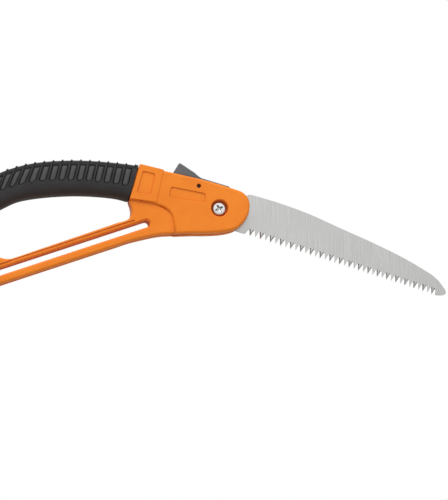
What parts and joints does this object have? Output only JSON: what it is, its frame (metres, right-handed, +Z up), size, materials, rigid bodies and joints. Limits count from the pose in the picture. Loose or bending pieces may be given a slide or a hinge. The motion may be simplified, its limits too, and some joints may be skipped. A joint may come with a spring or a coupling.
{
  "type": "folding pruning saw",
  "caption": "Folding pruning saw with a D-shaped two-shell handle, ribbed rubber grip, slotted lower arm, thumb lock lever and curved toothed blade.",
  "frame": {"origin": "middle of the grip, where the hand closes round it", "axes": "+X towards the blade's tip with the blade open, +Z up with the teeth facing down, -Y out of the saw's near side"},
  "size_m": [0.4346, 0.0252, 0.1214],
  "materials": {
    "orange_plastic": "satin moulded",
    "grip_rubber": "soft overmoulded",
    "lever_plastic": "fine moulded texture",
    "saw_steel": "ground, lines across the blade",
    "zinc_steel": "bright zinc plate",
    "bearing_brass": "turned",
    "dark_steel": "oil blackened"
  },
  "bodies": {
    "handle": {"near_casing": "orange_plastic", "far_casing": "orange_plastic", "near_grip": "grip_rubber", "far_grip": "grip_rubber", "pivot_bolt": "zinc_steel", "pivot_bush": "bearing_brass", "near_washer": "bearing_brass", "far_washer": "bearing_brass", "nut_washer": "zinc_steel", "pivot_nut": "zinc_steel", "lever_pin": "dark_steel", "lever_spring": "zinc_steel", "open_stop_pin": "dark_steel", "fold_stop_pin": "dark_steel", "casing_screw_1": "zinc_steel", "casing_screw_2": "zinc_steel", "casing_screw_3": "zinc_steel", "casing_screw_4": "zinc_steel", "casing_screw_5": "zinc_steel"},
    "blade": {"blade": "saw_steel"},
    "lock": {"lock_lever": "lever_plastic", "lock_catch": "dark_steel", "catch_rivet": "zinc_steel"}
  },
  "joints": [
    {"name": "blade_fold", "type": "hinge", "parent": "handle", "child": "blade", "pos_m": [0.13, 0, -0.025], "axis": [0, 1, 0], "range_deg": [0, 142.5]},
    {"name": "lock_press", "type": "hinge", "parent": "handle", "child": "lock", "pos_m": [0.1122, 0, -0.0063], "axis": [0, -1, 0], "range_deg": [-5.5, 8], "stiffness_Nm_per_rad": 0.4, "deforming": ["lever_spring"]}
  ]
}
